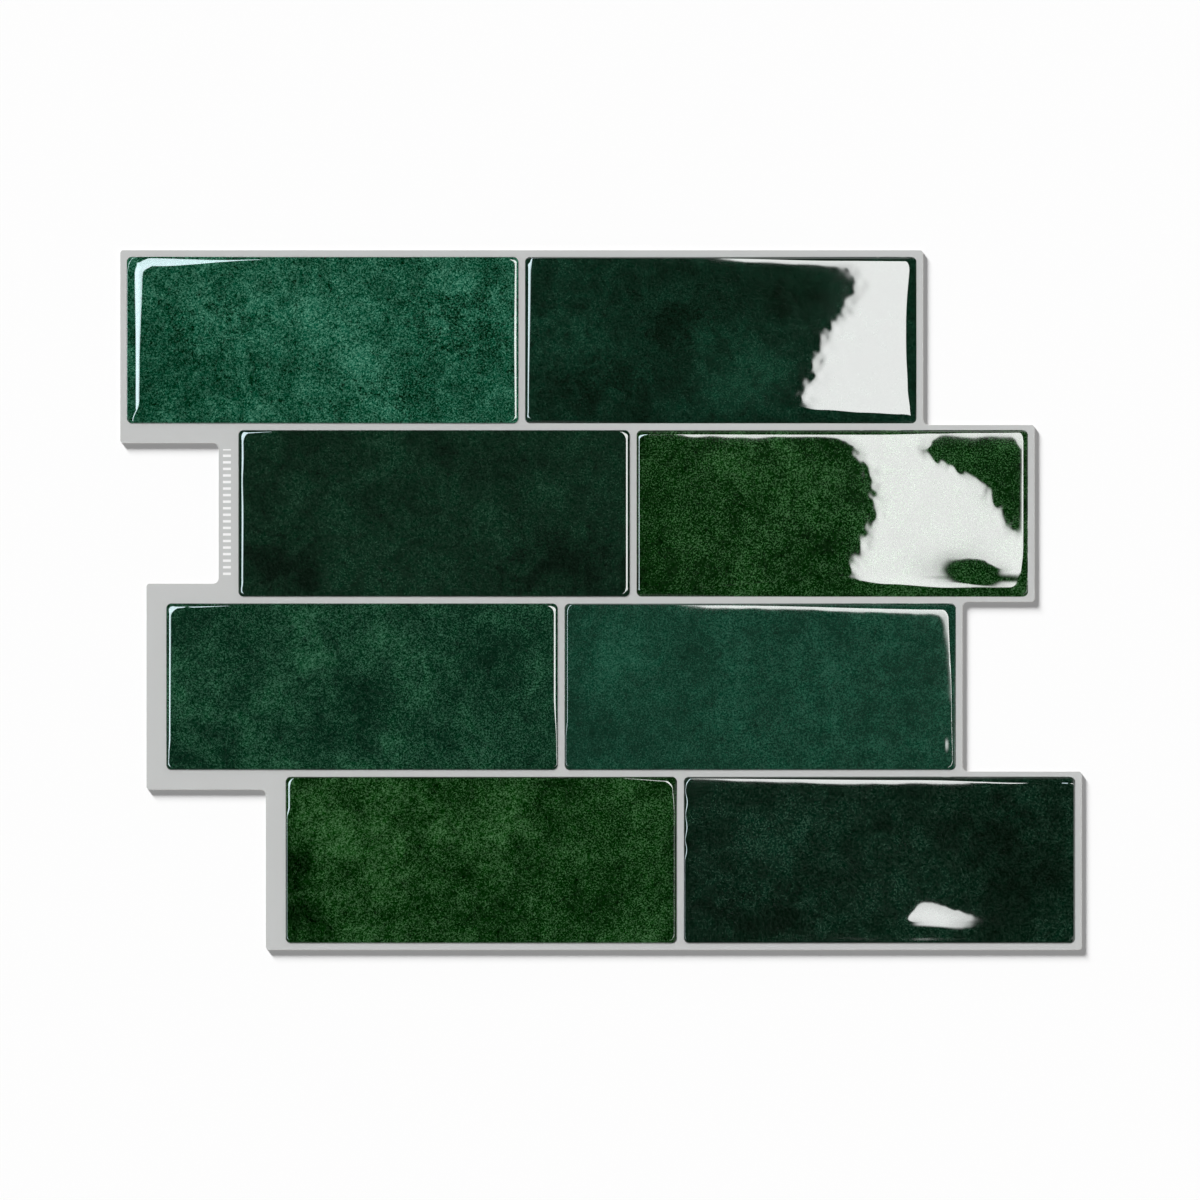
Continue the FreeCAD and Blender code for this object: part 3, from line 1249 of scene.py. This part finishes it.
THIRD_LEFT = GelTile(
    "gel_third_left", "third_row_left_tile", Slot.FOREST,
    TileForm(
        left=Rim(1.9, 0.8, 2.0, widths=((0, 0.4), (0.1, 0.55), (0.2, 0.8), (0.9, 0.9), (1, 1))),
        right=Rim(1.15, 0.3, 2.0, widths=((0, 0.2), (0.16, 0.3), (0.45, 1), (1, 1))),
        top=Rim(1.2, 0.7, 1.6, widths=((0, 1.5), (0.05, 1.2), (0.17, 0.75), (1, 0.75))),
        seed=5, **LEANING,
    ),
    GelPrint(
        *FOREST,
        clouds=clouds(
            (56, 17, 13, 14, -0.28), (25, 37, 13, 9, -0.2), (100, 38, 10, 7, -0.22),
            (8, 7, 18, 12, -0.15), (44, 38, 11, 12, 0.22), (78, 20, 16, 15, 0.15),
        ),
        grain=3.7,
    ),
)

THIRD_RIGHT = GelTile(
    "gel_third_right", "third_row_right_tile", Slot.FOREST,
    TileForm(
        left=Rim(1.0, 1.2, 1.7, widths=((0, 0.5), (0.2, 0.5), (0.3, 1))),
        right=Rim(
            2.3, 1.0, 1.2, tail=0.042, reach=1.3, widths=((0, 0.4), (0.4, 0.55), (1, 1)),
            tails=((0.3, 0), (0.46, 0.2), (0.7, 0.32), (1, 1)),
        ),
        top=Rim(
            1.0, 1.2, 1.4, tail=0.13, reach=1.2, widths=((0, 0.45), (0.4, 0.6), (1, 2.1)),
            tails=((0, 1), (0.6, 1), (1, 1.6)),
        ),
        seed=6,
        steps=(SlopeStep(((0, 35.5), (50, 35.5)), slope=0.0015, rough=0.0),),
        mounds=(Mound(115.9, 7.6, 0.7, 1.5, 0.005),),
        tilt_x=0.0005, crown=3e-05, swell=0.0003, ripple=0.0002,
    ),
    GelPrint(
        *SEA,
        clouds=clouds(
            (14, 35, 15, 10, 0.25), (58, 11, 30, 9, 0.1), (84, 40, 12, 7, -0.3),
            (38, 39, 14, 8, -0.12), (12, 8, 14, 9, -0.12),
        ),
        grain=3.15,
    ),
)

FOURTH_LEFT = GelTile(
    "gel_fourth_left", "fourth_row_left_tile", Slot.LEAF,
    TileForm(
        left=Rim(1.7, 0.8, 2.0, widths=((0, 0.3), (0.76, 0.3), (0.82, 0.9))),
        right=Rim(1.0, 1.1, 1.2, widths=((0, 0.8), (0.8, 0.8), (1, 1.5))),
        top=Rim(1.0, 0.9, 1.5, widths=((0, 0.6), (0.86, 0.6), (1, 1.6))),
        seed=7, **LEANING,
    ),
    GelPrint(
        *LEAF,
        clouds=clouds(
            (2, 22, 7, 13, -0.38), (6, 5, 13, 10, -0.3), (64, 10, 11, 9, -0.3),
            (96, 16, 13, 13, -0.3), (14, 29, 10, 8, 0.2), (52, 34, 28, 9, 0.16),
        ),
        grain=3.5, sparkle=(1.15, 0.88, 1.15),
    ),
)

FOURTH_RIGHT = GelTile(
    "gel_fourth_right", "fourth_row_right_tile", Slot.DEEP,
    TileForm(
        left=Rim(
            1.2, 0.9, 1.8,
            widths=(
                (0.5, 0.3), (0.56, 0.9), (0.62, 0.4), (0.7, 1), (0.77, 0.5), (0.85, 1.1),
                (0.91, 0.5), (1, 1),
            ),
        ),
        right=Rim(0.45, 1.2, 1.1),
        top=Rim(
            1.0, 1.2, 1.5, tail=0.12, reach=1.3, widths=((0, 0.6), (0.6, 1.1), (0.9, 2.2)),
            tails=((0, 0.35), (0.65, 1.3), (1, 1.2)),
        ),
        seed=8,
        steps=(SlopeStep(((0, 100), (50, 100)), slope=-0.004, width=5.0, rough=0.0),),
        mounds=(
            Mound(68.0, 6.2, 10.2, 2.4, 0.17),
            Mound(71.3, 10.4, 4.0, 1.9, 0.022),
            Mound(69.5, 2.6, 16.0, 1.2, -0.068),
        ),
        tilt_x=0.0022, crown=0.0, swell=0.0003, ripple=0.0003,
    ),
    GelPrint(
        *NIGHT,
        clouds=clouds(
            (26, 31, 14, 9, 0.35), (15, 16, 13, 7, 0.22), (102, 18, 20, 19, -0.3),
            (28, 8, 17, 7, -0.33), (8, 41, 10, 8, -0.15),
        ),
        crackles=clouds((24, 10, 26, 12, 1.2), (100, 34, 18, 14, 0.6)),
        grain=4.0,
    ),
)

TILES = (
    FIRST_LEFT, FIRST_RIGHT, SECOND_LEFT, SECOND_RIGHT,
    THIRD_LEFT, THIRD_RIGHT, FOURTH_LEFT, FOURTH_RIGHT,
)


def main() -> None:
    """Builds and dresses every piece, then sets the studio."""
    logging.basicConfig(level=logging.INFO, format="%(name)s: %(message)s")
    bpy.context.scene.view_settings.view_transform = "Standard"
    effects = SharedEffects()
    sheets = FilmAndLiner().dress(effects)
    tiles = [tile.build(effects) for tile in TILES]
    Studio().build(tiles, sheets)


if __name__ == "__main__":
    main()
